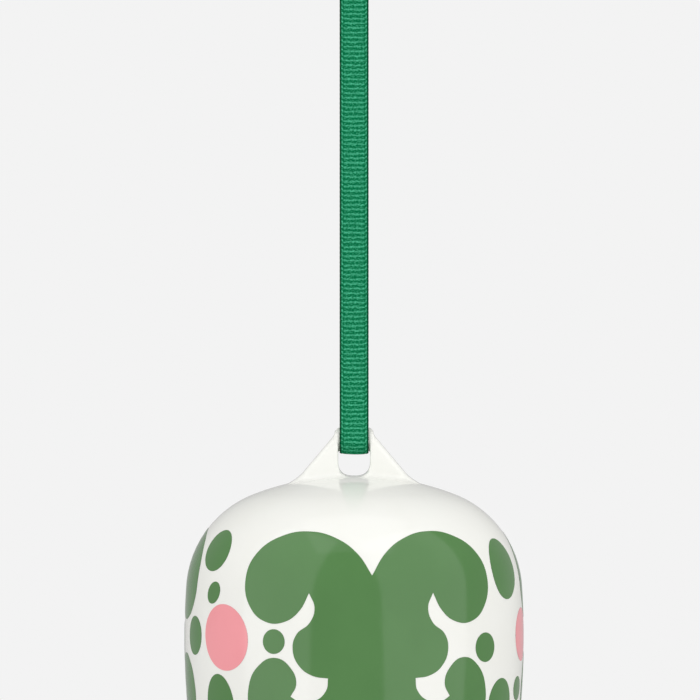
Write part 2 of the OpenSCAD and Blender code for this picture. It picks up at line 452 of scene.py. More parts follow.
@dataclass(frozen=True)
class Weave:
    """Grosgrain: ribs across the ribbon, each covered by fine threads that run along it, with painted highlights on the
    rib crests and painted shade in the grooves.

    Attributes:
        rib_pitch: Distance between ribs, in millimetres.
        half_width: Half the ribbon's width, in millimetres.
        thread_pitch: Distance between the fine threads, in millimetres.
        groove_falls: Where the painted shade in the groove beside the bound edge begins, in millimetres in from the
            edge.
        groove_rises: Where that groove and its painted shade end.
        selvedge: Where the painted highlight on the raised selvedge begins.
        rim: Where the dark rim begins.
        patches: How often the painted rib highlights break into lighter and darker patches in a millimetre, across and
            along.
    """

    rib_pitch: float
    half_width: float
    thread_pitch: float = 0.15
    groove_falls: tuple[float, float] = (0.98, 0.82)
    groove_rises: tuple[float, float] = (0.78, 0.62)
    selvedge: tuple[float, float] = (0.72, 0.58)
    rim: tuple[float, float] = (0.44, 0.32)
    patches: tuple[float, float, float] = (2.3, 3.6, 1)
    name: str = "green_grosgrain"
    # Groove and crest colours: one green, darkened for painted shade in the grooves between ribs and lightened for a
    # painted highlight on the crests.
    groove_shade: tuple[float, float, float, float] = (0.0004, 0.150, 0.054, 1)
    crest_highlight: tuple[float, float, float, float] = (0.085, 0.54, 0.31, 1)
    edge: tuple[float, float, float, float] = (0.001, 0.070, 0.026, 1)

    def from_edge(self, inward: tuple[float, float]) -> tuple[float, float]:
        """Turns distances in from the edge into distances from the middle."""
        return self.half_width - inward[0], self.half_width - inward[1]

    def material(self) -> bpy.types.Material:
        """Makes the material."""
        shader = Shader(self.name)
        uv = shader.add("TexCoord", {}).outputs["UV"]
        split = shader.add("SeparateXYZ", {0: uv})
        across, along = split.outputs["X"], split.outputs["Y"]
        side = shader.math("ABSOLUTE", across)
        wander = shader.noise(uv, 0.9, 2)
        turn = shader.between(side, (0.70 * self.half_width, 0.86 * self.half_width), (0, -0.42), soft=True)
        phase = shader.math("ADD", shader.math("ADD", shader.math("DIVIDE", along, self.rib_pitch), turn),
                            shader.math("MULTIPLY", wander, 0.5))
        ribs = shader.math("ABSOLUTE", shader.math("SINE", shader.math("MULTIPLY", phase, math.pi)))
        threads = shader.math("SINE", shader.math("ADD", shader.math("MULTIPLY", across, TAU / self.thread_pitch),
                                                  shader.math("MULTIPLY", wander, 9)))
        stretch = shader.add("Mapping", {"Vector": uv, "Scale": self.patches}).outputs[0]
        uneven = shader.noise(stretch, 1, 3)
        # Painted light on the ribs: a narrow highlight along each crest and shade in the grooves, broken into lighter
        # and darker patches by the noise.
        lit = shader.math("ADD", shader.math("POWER", ribs, 4.5),
                          shader.math("MULTIPLY", shader.math("SUBTRACT", uneven, 0.5), 3.4))
        lit = shader.math("ADD", lit, shader.math("MULTIPLY", threads, 0.16))
        # Painted shade in the groove beside the bound edge.
        edge_groove_shade = shader.math("MULTIPLY", shader.between(side, self.from_edge(self.groove_falls), (0, 0.5)),
                                  shader.between(side, self.from_edge(self.groove_rises), (1, 0)))
        # Painted highlight on the raised selvedge.
        selvedge = shader.between(side, self.from_edge(self.selvedge), (0, 0.22))
        lit = shader.math("ADD", shader.math("SUBTRACT", lit, edge_groove_shade), selvedge)
        # The cloth's colour runs from the painted groove shade to the painted crest highlight; the surface has almost
        # no specular of its own.
        cloth = shader.blend(shader.between(lit, (0.0, 1.45), (0, 1)), self.groove_shade, self.crest_highlight)
        rim = shader.between(side, self.from_edge(self.rim), (0, 1), soft=True)
        colour = shader.blend(rim, cloth, self.edge)
        height = shader.math("ADD", shader.math("MULTIPLY", threads, 0.5), uneven)
        shader.bump(height, 0.022 * MM)
        return shader.finish(Base_Color=colour, Roughness=0.9, Specular_IOR_Level=0.03)


@dataclass(frozen=True)
class Thread:
    """Two-ply sewing thread, with painted shade between the plies and a painted highlight on them, in bands along the
    twist.
    """

    name: str = "green_thread"
    dark: tuple[float, float, float, float] = (0.002, 0.06, 0.022, 1)
    light: tuple[float, float, float, float] = (0.02, 0.26, 0.12, 1)

    def material(self) -> bpy.types.Material:
        """Makes the material."""
        shader = Shader(self.name)
        place = shader.place()
        twist = shader.add("TexWave", {"Vector": place, "Scale": 900, "Distortion": 1.5, "Detail": 2},
                           bands_direction="DIAGONAL").outputs["Fac"]
        shader.bump(twist, 0.03 * MM)
        # The twist bands paint shade between the plies and a highlight on them.
        return shader.finish(Base_Color=shader.blend(twist, self.dark, self.light), Roughness=0.55,
                             Sheen_Weight=0.3)


# ------------------------------------------------------------------------------------------------
# The studio


@dataclass
class Studio:
    """Camera, light and floor.

    Attributes:
        distance: Distance from the camera to the hanging axis.
        width: Width of the view at the hanging axis.
        level: Height of the camera and of the middle of the view.
        aside: How far right of the hanging axis the camera looks.
        backdrop: Brightness of the background in the view.
        ambient: Brightness of the surroundings at the horizon.
        zenith: Brightness of the surroundings overhead.
        behind: How bright the surroundings behind the bell are, as a share of those in front.
        aim_drop: How far below the camera's level the panels aim.
        floor_drop: Height of the bell's lip above the floor.
        floor_size: Length of the floor's side.
    """

    distance: float = 1.4
    width: float = 0.1447
    level: float = -0.08556
    aside: float = -0.00085
    backdrop: float = 0.896
    ambient: float = 0.665
    zenith: float = 0.50
    behind: float = 0.74
    aim_drop: float = 0.03
    floor_drop: float = 1.2
    floor_size: float = 6.0

    def camera(self) -> None:
        """Makes the camera, level and in front of the bell."""
        bpy.ops.object.camera_add(location=(self.aside, -self.distance, self.level),
                                  rotation=(math.pi / 2, 0, 0))
        camera = bpy.context.object
        camera.name = "camera"
        camera.data.lens = camera.data.sensor_width * self.distance / self.width
        camera.data.clip_start = 0.01
        camera.data.clip_end = 50
        bpy.context.scene.camera = camera
        bpy.context.scene.view_settings.view_transform = "Standard"

    def softbox(self, name: str, azimuth: float, rise: float, size: tuple[float, float], radiance: float,
                away: float = 1.0) -> None:
        """Adds a soft panel of light that faces the middle of the view.

        Args:
            name: Name of the light.
            azimuth: Degrees to the right of the camera, as seen from the bell.
            rise: Degrees above the bell.
            size: Width and height of the panel.
            radiance: Brightness of the panel.
            away: Distance from the bell.
        """
        turn, lift = math.radians(azimuth), math.radians(rise)
        to = Vector((math.sin(turn) * math.cos(lift), -math.cos(turn) * math.cos(lift), math.sin(lift)))
        middle = Vector((0, 0, self.level - self.aim_drop))
        bpy.ops.object.light_add(type="AREA", location=middle + to * away,
                                 rotation=to.to_track_quat("Z", "Y").to_euler())
        light = bpy.context.object
        light.name = name
        light.data.shape = "RECTANGLE"
        light.data.size, light.data.size_y = size
        light.data.energy = radiance * math.pi * size[0] * size[1]

    def light(self) -> None:
        """Hangs the panels and sets the surroundings."""
        self.softbox("left_softbox", -54, 15, (0.98, 2.4), 0.82)
        self.softbox("right_softbox", 50, 15, (1.26, 2.4), 0.82)
        self.softbox("top_softbox", 0, 72, (0.9, 0.9), 0.5)
        world = bpy.data.worlds.new("studio")
        bpy.context.scene.world = world
        world.use_nodes = True
        tree = world.node_tree
        tree.nodes.clear()

        def add(kind: str) -> bpy.types.Node:
            """Adds a node to the surroundings."""
            return tree.nodes.new("ShaderNode" + kind)

        height = add("SeparateXYZ")
        tree.links.new(add("TexCoord").outputs["Generated"], height.inputs[0])
        grade = add("MapRange")
        grade.inputs["To Min"].default_value = self.ambient
        grade.inputs["To Max"].default_value = self.zenith
        tree.links.new(height.outputs["Z"], grade.inputs["Value"])
        seen, rest, mix, out = add("Background"), add("Background"), add("MixShader"), add("OutputWorld")
        seen.inputs["Color"].default_value = (self.backdrop, self.backdrop, self.backdrop, 1)
        rest.inputs["Color"].default_value = (1, 1, 1, 1)
        behind = add("MapRange")
        behind.inputs["To Min"].default_value = 1.0
        behind.inputs["To Max"].default_value = self.behind
        tree.links.new(height.outputs["Y"], behind.inputs["Value"])
        product = add("Math")
        product.operation = "MULTIPLY"
        tree.links.new(grade.outputs["Result"], product.inputs[0])
        tree.links.new(behind.outputs["Result"], product.inputs[1])
        tree.links.new(product.outputs[0], rest.inputs["Strength"])
        tree.links.new(add("LightPath").outputs["Is Camera Ray"], mix.inputs[0])
        tree.links.new(rest.outputs[0], mix.inputs[1])
        tree.links.new(seen.outputs[0], mix.inputs[2])
        tree.links.new(mix.outputs[0], out.inputs["Surface"])

    def floor(self) -> None:
        """Lays a plain pale floor below the hanging bell."""
        bpy.ops.mesh.primitive_plane_add(size=self.floor_size)
        floor = bpy.context.object
        floor.name = "floor"
        for vertex in floor.data.vertices:
            vertex.co.z = cad_box[0][2] - self.floor_drop
        shader = Shader("pale_floor")
        mottle = shader.between(shader.noise(shader.place(), 3, 2), (0.3, 0.7), (0, 1))
        shader.finish(Base_Color=shader.blend(mottle, (0.80, 0.80, 0.80, 1), (0.82, 0.82, 0.82, 1)), Roughness=0.8)
        shader.see_through_from_behind()
        floor.data.materials.append(shader.material)


# ------------------------------------------------------------------------------------------------
# The ribbon


@dataclass
class RibbonLoop:
    """One strip of grosgrain through the lug, with its ends lapped behind and stitched.

    Attributes:
        route: Middle line of the strip in metres, as [y, z]: up from its hidden end, under the bar,
            up the front, over the hook and down the back to the lap.
        sag: How far the strip's middle bulges where it bends under the bar.
        sag_reach: How far along the strip that bulge fades.
    """

    route: list[list[float]] = field(default_factory=lambda: [
        [0.00275, -0.084], [0.00275, -0.090], [0.00275, -0.097], [0.00275, -0.104],
        [0.0026, -0.10495], [0.0021, -0.10575], [0.0014, -0.1064], [0.0005, -0.1067], [-0.0005, -0.1067],
        [-0.0014, -0.1064], [-0.0021, -0.10575], [-0.0026, -0.10495], [-0.00275, -0.104],
        [-0.00275, -0.097], [-0.00275, -0.070], [-0.00275, -0.040], [-0.00275, -0.010], [-0.00275, -0.0025],
        [-0.0026, -0.00155], [-0.0021, -0.00075], [-0.0014, -0.0001], [-0.0005, 0.0002], [0.0005, 0.0002],
        [0.0014, -0.0001], [0.0021, -0.00075], [0.0026, -0.00155], [0.00275, -0.0025],
        [0.00275, -0.010], [0.00275, -0.040], [0.00275, -0.070], [0.00275, -0.077], [0.00285, -0.079],
        [0.0032, -0.082], [0.0033, -0.084], [0.0033, -0.096]])
    width: float = 6.0
    thickness: float = 0.5
    rib_pitch: float = 0.96
    rib_height: float = 0.09
    per_rib: int = 8
    sag: float = 0.17
    sag_reach: float = 2.4
    stitch_rows: tuple[float, float] = (-86.5, -93.5)
    stitch_count: int = 4
    stitch_pitch: float = 1.3
    stitch_length: float = 1.0
    lap_faces: tuple[float, float] = (3.55, 2.5)

    def section(self) -> list[tuple[float, float, float]]:
        """Points round the strip's section.

        Returns:
            Place across in half widths, share of the half thickness, and rib phase in ribs.
        """
        half = [(1.0, 0.0, 0.5), (0.985, 0.55, 0.5), (0.945, 0.86, 0.5), (0.885, 1.0, 0.5), (0.82, 0.98, 0.5),
                (0.765, 0.80, 0.25), (0.70, 0.98, 0.0), (0.47, 1.0, 0.0), (0.235, 1.0, 0.0)]
        top = half + [(0.0, 1.0, 0.0)] + [(-x, t, p) for x, t, p in reversed(half)]
        return top + [(x, -t, p) for x, t, p in reversed(top[1:-1])]

    def strip(self) -> tuple[bpy.types.Object, list[tuple[float, float, float]]]:
        """Builds the strip, with real ribs and a map in millimetres.

        Returns:
            The strip and the points of its middle line.
        """
        step = self.rib_pitch / self.per_rib
        line = through([[y * 1000, z * 1000] for y, z in self.route], step)
        along = np.r_[0, np.cumsum(np.linalg.norm(np.diff(line, axis=0), axis=1))]
        heading = np.gradient(line, axis=0)
        heading /= np.linalg.norm(heading, axis=1)[:, None]
        section = self.section()
        fold = along[int(np.argmin(line[:, 1]))]
        points, uvs = [], []
        for k, ((y, z), (dy, dz), s) in enumerate(zip(line, heading, along)):
            ends = min(1.0, 0.45 + 0.55 * min(k, len(line) - 1 - k) / self.per_rib)
            for across, share, phase in section:
                waver = 0.035 * math.sin(0.9 * s + 1.7 * across) + 0.03 * math.sin(2.3 * s - 2.1 * across)
                rib = abs(math.sin(math.pi * (s / self.rib_pitch + phase + waver)))
                lift = share * ends * (self.thickness / 2 - self.rib_height * (1 - rib**0.8) * min(1, abs(share) * 1.5))
                bulge = math.exp(-(((s - fold) / self.sag_reach) ** 2))
                lift += self.sag * (1 - across**2) * (1 + 0.4 * across) * bulge
                x = across * self.width / 2 - math.copysign(0.03 * (1 - rib), across) * (abs(across) > 0.9)
                points.append((x * MM, (y - lift * dz) * MM, (z + lift * dy) * MM))
                uvs.append((x, s))
        sides, rings = len(section), len(line)
        faces = [(i * sides + k, i * sides + (k + 1) % sides, (i + 1) * sides + (k + 1) % sides, (i + 1) * sides + k)
                 for i in range(rings - 1) for k in range(sides)]
        faces += [tuple(range(sides))[::-1], tuple((rings - 1) * sides + k for k in range(sides))]
        mesh = bpy.data.meshes.new("ribbon")
        mesh.from_pydata(points, [], faces)
        layer = mesh.uv_layers.new(name="weave")
        for loop in mesh.loops:
            layer.data[loop.index].uv = uvs[loop.vertex_index]
        piece = bpy.data.objects.new("ribbon", mesh)
        bpy.context.scene.collection.objects.link(piece)
        edit(piece)
        bpy.ops.mesh.normals_make_consistent(inside=False)
        leave_edit()
        smooth(piece)
        return piece, [(0.0, y * MM, z * MM) for y, z in line]

    def stitches(self) -> bpy.types.Object:
        """Sews the two rows of stitches through the lap, from one stitch that is copied."""
        half, rise = self.stitch_length / 2, 0.13
        arc = [(-half, -0.12), (-0.42 * self.stitch_length, 0.06), (-0.22, rise), (0.22, rise),
               (0.42 * self.stitch_length, 0.06), (half, -0.12)]
        line = through([(x, y, 0.05 * x) for x, y in arc], 0.07)
        model = sweep("stitch", [tuple(p) for p in line], 0.13, 12)
        made = []
        row = (self.stitch_count - 1) * self.stitch_pitch
        for z in self.stitch_rows:
            for face, out in zip(self.lap_faces, (1, -1)):
                for k in range(self.stitch_count):
                    pick(model)
                    bpy.ops.object.duplicate()
                    copy = bpy.context.object
                    edit(copy)
                    if out < 0:
                        bpy.ops.transform.rotate(value=math.pi, orient_axis="Z", center_override=(0, 0, 0))
                    bpy.ops.transform.translate(value=((k * self.stitch_pitch - row / 2) * MM, face * MM, z * MM))
                    leave_edit()
                    made.append(copy)
        bpy.data.objects.remove(model)
        return join("seam_stitches", *made)

    def build(self) -> None:
        strip, line = self.strip()
        dress(strip, Weave(self.rib_pitch, self.width / 2).material(), Body.RIBBON, ["ribbon_loop"])
        stitches = dress(self.stitches(), Thread().material(), Body.RIBBON, ["seam_thread"])


# ------------------------------------------------------------------------------------------------
# The porcelain


def crossing(c1: np.ndarray, r1: float, c2: np.ndarray, r2: float) -> np.ndarray:
    """The point where two circles cross, on the left of the line from the first centre to the second."""
    line = c2 - c1
    d = np.linalg.norm(line)
    a = (r1 * r1 - r2 * r2 + d * d) / (2 * d)
    u = line / d
    return c1 + a * u + math.sqrt(r1 * r1 - a * a) * np.array([-u[1], u[0]])


def angle_of(start: np.ndarray, end: np.ndarray) -> float:
    """The angle of the direction from one point to another, in radians."""
    return math.atan2(end[1] - start[1], end[0] - start[0])


@dataclass
class BellShape:
    """The side of the bell: dome, shoulder, barrel and flare, each arc tangent to the next.

    All sizes are in millimetres, and heights are above the lip.
    """

    height: float
    diameter: float = 70.0
    belly_drop: float = 33.5
    lip_spread: float = 1.0
    wall: float = 3.0
    crown_r: float = 58.0
    shoulder_r: float = 21.8
    belly_r: float = 170.0
    flare_r: float = 100.0

    def __post_init__(self) -> None:
        """Finds the arcs' centres and where they meet."""
        self.lip_round = self.wall / 2
        self.lip_cut = 0.85 * self.lip_round
        self.dome_c = np.array([0, self.height - self.crown_r])
        self.belly_c = np.array([self.diameter / 2 - self.belly_r, self.height - self.belly_drop])
        self.shoulder_c = crossing(self.belly_c, self.belly_r - self.shoulder_r, self.dome_c,
                                   self.crown_r - self.shoulder_r)
        edge = np.array([(self.diameter + self.lip_spread) / 2, self.lip_cut])
        self.flare_c = crossing(self.belly_c, self.belly_r + self.flare_r, edge, self.flare_r)
        self.dome_end = angle_of(self.dome_c, self.shoulder_c)
        self.shoulder_end = angle_of(self.belly_c, self.shoulder_c)
        self.belly_end = angle_of(self.belly_c, self.flare_c)
        self.lip_end = math.pi + math.asin((self.flare_c[1] - self.lip_cut) / (self.flare_r + self.lip_round))
        out = self.flare_r + self.lip_round
        self.lip_c = self.flare_c + out * np.array([math.cos(self.lip_end), math.sin(self.lip_end)])

    def arc(self, centre: np.ndarray, radius: float, start: float, stop: float, step: float) -> list[np.ndarray]:
        """Points along an arc, without its last."""
        count = max(2, math.ceil(abs(stop - start) * radius / step))
        return [centre + radius * np.array([math.cos(a), math.sin(a)])
                for a in np.linspace(start, stop, count, endpoint=False)]

    def side(self, inset: float, step: float, first: float = math.pi / 2) -> list[np.ndarray]:
        """The side from the dome to the lip.

        Args:
            inset: How far inside the outer face.
            step: Distance between points.
            first: Angle on the dome at which the side begins.

        Returns:
            Points of radius and height.
        """
        return (self.arc(self.dome_c, self.crown_r - inset, first, self.dome_end, step)
                + self.arc(self.shoulder_c, self.shoulder_r - inset, self.dome_end, self.shoulder_end, step * 0.7)
                + self.arc(self.belly_c, self.belly_r - inset, self.shoulder_end, self.belly_end, step * 1.4)
                + self.arc(self.flare_c, self.flare_r + inset, math.pi + self.belly_end, self.lip_end, step * 1.2))

    def lip(self) -> list[np.ndarray]:
        """The rounded lip, cut flat below."""
        flat = math.asin(self.lip_cut / self.lip_round)
        soft = math.radians(7)
        outer = self.arc(self.lip_c, self.lip_round, self.lip_end - math.pi, -flat + soft, 0.28)
        inner = self.arc(self.lip_c, self.lip_round, flat - math.pi - soft, self.lip_end - TAU, 0.28)
        foot = [(self.lip_c[0] + side * x * self.lip_round * math.cos(flat), 0.0)
                for side, x in ((1, 0.75), (1, 0.0), (-1, 0.75))]
        return outer + [np.array(p) for p in foot] + inner

    def on_side(self, v: np.ndarray, lift: np.ndarray) -> tuple[np.ndarray, np.ndarray]:
        """Places on or over the outer face.

        Args:
            v: Distances along the side above the widest level.
            lift: Distances off the face.

        Returns:
            Points of radius and height, and the face's outward directions there.
        """
        up1 = self.belly_r * self.shoulder_end
        up2 = up1 + self.shoulder_r * (self.dome_end - self.shoulder_end)
        down = self.belly_r * self.belly_end
        angle = np.select(
            [v > up2, v > up1, v > down],
            [self.dome_end + (v - up2) / self.crown_r, self.shoulder_end + (v - up1) / self.shoulder_r,
             v / self.belly_r],
            math.pi + self.belly_end - (v - down) / self.flare_r)
        picks = [v > up2, v > up1, v > down]
        centre = np.stack([np.select(picks, [self.dome_c[k], self.shoulder_c[k], self.belly_c[k]], self.flare_c[k])
                           for k in (0, 1)], axis=1)
        radius = np.select(picks, [self.crown_r, self.shoulder_r, self.belly_r], self.flare_r)
        way = np.stack([np.cos(angle), np.sin(angle)], axis=1)
        out = np.where((v > down)[:, None], way, -way)
        return centre + radius[:, None] * way + lift[:, None] * out, out


def soft_min(a: np.ndarray, b: np.ndarray, k: np.ndarray | float) -> np.ndarray:
    """The smaller of two distances, with a fillet of about k where they meet."""
    h = np.clip(0.5 + 0.5 * (b - a) / k, 0, 1)
    return b * (1 - h) + a * h - k * h * (1 - h)


def soft_max(a: np.ndarray, b: np.ndarray, k: float) -> np.ndarray:
    """The larger of two distances, with a round edge of about k where they meet."""
    return -soft_min(-a, -b, k)


@dataclass
class LugShape:
    """The hanging lug as distances from its faces, in millimetres from the top of the crown.

    Attributes:
        foot_fade: How far before the flank touches the crown the fillet along the foot fades out.
        foot_sink: How fast the flank's end sinks into the crown.
        foot_lead: How far before it touches the crown it starts to sink.
        foot_span: How far it goes on sinking.
    """

    crown_r: float
    bar_rise: float = 7.5
    bar_r: float = 2.4
    leg_extra: float = 0.2
    hole_w: float = 6.6
    crest_r: float = 4.6
    crest_gap: float = 1.2
    crest_cover: float = 0.1
    flank_slope: float = 50.0
    flank_r: float = 8.0
    foot_depth: float = 8.6
    edge_round: float = 1.3
    hole_round: float = 0.6
    bar_fillet: float = 0.45
    foot_fillet: float = 1.5
    throat_fillet: float = 1.6
    foot_fade: float = 5.0
    foot_sink: float = 0.06
    foot_lead: float = 2.5
    foot_span: float = 8.0

    def __post_init__(self) -> None:
        """Finds the straight flank, the hollow under it and where that touches the crown."""
        self.crest_c = np.array([self.crest_gap / 2, self.bar_rise + self.bar_r + self.crest_cover - self.crest_r])
        slope = math.radians(self.flank_slope)
        self.out = np.array([math.sin(slope), math.cos(slope)])
        self.down = np.array([self.out[1], -self.out[0]])
        start = self.crest_c + (self.crest_r + self.flank_r) * self.out + np.array([0, self.crown_r])
        reach = self.crown_r + self.flank_r
        self.run = -start @ self.down - math.sqrt((start @ self.down) ** 2 - start @ start + reach**2)
        self.flank_c = self.crest_c + (self.crest_r + self.flank_r) * self.out + self.run * self.down
        self.touch = self.flank_c[0] * self.crown_r / reach

    def front(self, x: np.ndarray, z: np.ndarray) -> np.ndarray:
        """Distance outside the lug's front outline."""
        p = np.stack([np.abs(x), z], axis=-1)
        rel = p - self.crest_c
        along = rel @ self.down
        crest_highlight = np.where(rel[:, 0] < 0, rel[:, 1], np.linalg.norm(rel, axis=1)) - self.crest_r
        hollow = self.flank_r - np.linalg.norm(p - self.flank_c, axis=1)
        hollow += self.foot_sink * np.clip(p[:, 0] - self.touch + self.foot_lead, 0, self.foot_span) ** 2
        return np.select([along < 0, along < self.run], [crest_highlight, rel @ self.out - self.crest_r], hollow)

    def beside(self, y: np.ndarray, z: np.ndarray) -> np.ndarray:
        """Distance outside the lug's side outline: straight faces under a round top."""
        tip, foot = np.array([0, self.bar_rise]), np.array([self.foot_depth / 2, 0])
        leg = self.bar_r + self.leg_extra
        lean = angle_of(foot, tip) - math.asin(leg / np.linalg.norm(tip - foot))
        out = np.array([math.sin(lean), -math.cos(lean)])
        p = np.stack([np.abs(y), z], axis=-1)
        rel = p - tip
        level = rel @ np.array([math.cos(lean), math.sin(lean)])
        return np.where(level > 0, np.linalg.norm(rel, axis=1) - leg, (p - foot) @ out)

    def lug(self, p: np.ndarray) -> np.ndarray:
        """Distance outside the lug alone."""
        x, y, z = p.T
        legs = soft_max(self.front(x, z), self.beside(y, z), self.edge_round)
        legs = soft_max(legs, self.hole_w / 2 - np.abs(x), self.hole_round)
        bar = np.maximum(np.hypot(y, z - self.bar_rise) - self.bar_r, np.abs(x) - self.hole_w / 2 - 0.7)
        return soft_min(legs, bar, self.bar_fillet)

    def crown(self, p: np.ndarray) -> np.ndarray:
        """Distance outside the crown."""
        return np.linalg.norm(p + np.array([0, 0, self.crown_r]), axis=1) - self.crown_r

    def slope(self, field_of: Callable[[np.ndarray], np.ndarray], p: np.ndarray) -> np.ndarray:
        """The direction in which a distance grows, at each point."""
        h = 0.02
        grad = np.stack([field_of(p + h * e) - field_of(p - h * e) for e in np.eye(3)], axis=1)
        return grad / np.maximum(np.linalg.norm(grad, axis=1), 1e-9)[:, None]

    def whole(self, p: np.ndarray) -> np.ndarray:
        """Distance outside crown and lug together. Faces that run tangent into the crown get no fillet."""
        lug_way, crown_way = self.slope(self.lug, p), self.slope(self.crown, p)
        apart = np.clip(1 - (lug_way * crown_way).sum(1), 0.02, 0.8) / 0.8
        fade = np.clip((self.touch - np.abs(p[:, 0])) / self.foot_fade, 0, 1)
        k = (self.foot_fillet + self.throat_fillet * lug_way[:, 0] ** 2 * (np.abs(p[:, 0]) < self.hole_w)) * apart
        return soft_min(self.lug(p), self.crown(p), np.maximum(k * fade, 0.03))


@dataclass
class PorcelainBell:
    """The bell, its lug and the eye for the clapper: three parts luted together and fired as one.

    Attributes:
        shape: The side of the bell.
        lug: The shape of the lug.
        lip_z: Height of the lip in the frame, in millimetres.
        seam_r: Radius at which the spun cup ends.
        cap_r: Radius of the crown's top that is modelled with the lug.
        cap_margin: How much wider that top is before it is cut round.
        cap_depth: How deep it is before its inside is cut away.
        passes: How often its vertices are moved towards the exact form.
        reach: The farthest that a vertex moves in one pass.
    """

    shape: BellShape
    lug: LugShape
    lip_z: float
    glaze: Glaze
    steps: int = 240
    step: float = 1.1
    seam_r: float = 20.0
    cap_r: float = 19.3
    cap_margin: float = 1.2
    cap_depth: float = 6.0
    voxel: float = 0.2
    passes: int = 12
    reach: float = 0.25
    eye_height: float = 65.7
    eye_bend: float = 3.4
    eye_rod: float = 1.3

    def at(self, outline: Iterable[Sequence[float]]) -> list[tuple[float, float]]:
        """An outline moved from the lip's height to the frame's."""
        return [(p[0], p[1] + self.lip_z) for p in outline]

    def cup(self) -> bpy.types.Object:
        """Spins the cup: outside from the seam down, round the lip and up the inside to the axis."""
        first = math.acos(self.seam_r / self.shape.crown_r)
        inside = self.shape.side(self.shape.wall, self.step * 1.8)
        outline = self.shape.side(0, self.step, first) + self.shape.lip() + inside[::-1]
        return spin("cup", self.at(outline), self.steps, closed=False)

    def crown(self) -> bpy.types.Object:
        """Models the crown's top with the lug on it, as one skin with real fillets."""
        rim = self.cap_r + self.cap_margin
        crown_top = self.shape.height + self.lip_z
        first = math.acos(rim / self.shape.crown_r)
        dome = self.shape.arc(self.shape.dome_c, self.shape.crown_r + 0.15, math.pi / 2, first, 1.0)
        low = self.shape.height - self.cap_depth
        cap = spin("cap", self.at([*dome, (rim, dome[-1][1]), (rim, low), (0, low)]), 96)
        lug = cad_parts["hanging_lug"].copy()
        lug.data = lug.data.copy()
        lug.parent = None
        lug.hide_render = lug.hide_viewport = False
        bpy.context.scene.collection.objects.link(lug)
        edit(lug)
        bpy.ops.mesh.remove_doubles(threshold=MERGE)
        leave_edit()
        skin = join("crown", cap, lug)
        for key in [k for k in skin.keys() if k.startswith("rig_")]:
            del skin[key]
        apply_modifier(skin, "REMESH", mode="VOXEL", voxel_size=self.voxel * MM, adaptivity=0.0)
        bpy.ops.mesh.primitive_cylinder_add(vertices=self.steps, radius=self.cap_r * MM, depth=60 * MM,
                                            location=(0, 0, crown_top * MM))
        cutter = bpy.context.object
        apply_modifier(skin, "BOOLEAN", operation="INTERSECT", object=cutter, solver="EXACT")
        bpy.data.objects.remove(cutter)
        edit(skin)
        bpy.ops.mesh.select_all(action="DESELECT")
        bpy.ops.mesh.select_mode(type="FACE")
        leave_edit()
        places = vertices(skin) / MM - np.array([0, 0, crown_top])
        deep = self.lug.crown(places) < -0.6
        for face in skin.data.polygons:
            ring = [np.hypot(*places[v][:2]) > self.cap_r - 0.02 for v in face.vertices]
            face.select = bool(all(deep[v] for v in face.vertices) or all(ring))
        edit_faces(skin)
        bpy.ops.mesh.delete(type="FACE")
        bpy.ops.mesh.select_all(action="SELECT")
        bpy.ops.mesh.delete_loose()
        leave_edit()
        self.settle(skin, crown_top)
        return skin

    def settle(self, skin: bpy.types.Object, crown_top: float) -> None:
        """Moves every vertex of the crown's skin onto the exact filleted form."""
        places = vertices(skin) / MM - np.array([0, 0, crown_top])
        for _ in range(self.passes):
            gap = self.lug.whole(places)
            places -= np.clip(gap, -self.reach, self.reach)[:, None] * self.lug.slope(self.lug.whole, places)
        radius = np.hypot(places[:, 0], places[:, 1])
        rim = radius > self.cap_r - 0.15
        places[rim, :2] *= (self.cap_r / radius[rim])[:, None]
        places[rim, 2] = np.sqrt(self.lug.crown_r**2 - self.cap_r**2) - self.lug.crown_r
        place_vertices(skin, (places + np.array([0, 0, crown_top])) * MM)

    def body(self) -> bpy.types.Object:
        """Joins cup and crown with a bridge between their open rims."""
        piece = join("porcelain_bell", self.cup(), self.crown())
        edit(piece)
        bpy.ops.mesh.select_mode(type="EDGE")
        bpy.ops.mesh.select_all(action="SELECT")
        bpy.ops.mesh.remove_doubles(threshold=MERGE)
        bpy.ops.mesh.select_all(action="DESELECT")
        bpy.ops.mesh.select_non_manifold(extend=False, use_wire=False, use_boundary=True, use_multi_face=False,
                                         use_non_contiguous=False, use_verts=False)
        bpy.ops.mesh.bridge_edge_loops()
        bpy.ops.mesh.select_all(action="SELECT")
        bpy.ops.mesh.normals_make_consistent(inside=False)
        leave_edit()
        smooth(piece)
        self.polish(piece)
        return piece

    def polish(self, piece: bpy.types.Object) -> None:
        """Gives the crown and lug the exact form's shading."""
        places = vertices(piece) / MM - np.array([0, 0, self.shape.height + self.lip_z])
        ways = np.zeros(len(places) * 3)
        piece.data.vertices.foreach_get("normal", ways)
        ways = ways.reshape(-1, 3)
        near = (np.hypot(places[:, 0], places[:, 1]) < self.seam_r + 0.1) & (self.lug.crown(places) > -1)
        ways[near] = self.lug.slope(self.lug.whole, places[near])
        piece.data.normals_split_custom_set_from_vertices(ways.tolist())

    def eye(self) -> bpy.types.Object:
        """Bends the clapper's eye from a porcelain rod whose ends are smeared onto the ceiling."""
        middle = self.eye_height + self.eye_bend
        bend = circle_points(self.eye_bend, 180, 360, 28)
        inner = self.shape.crown_r - self.shape.wall
        top = self.shape.dome_c[1] + math.sqrt(inner**2 - self.eye_bend**2)
        rise = [0.25 * k * (top + 0.7 - middle) for k in range(1, 5)]
        left = [(-self.eye_bend, h) for h in reversed(rise)]
        line = left + bend + [(self.eye_bend, h) for h in rise]
        flare = [self.eye_rod + 1.5 * (h / rise[-1]) ** 3 for h in rise]
        radii = flare[::-1] + [self.eye_rod] * len(bend) + flare
        return sweep("clapper_eye_glazed", turned(line, (0, 0, middle + self.lip_z)), radii, 32)

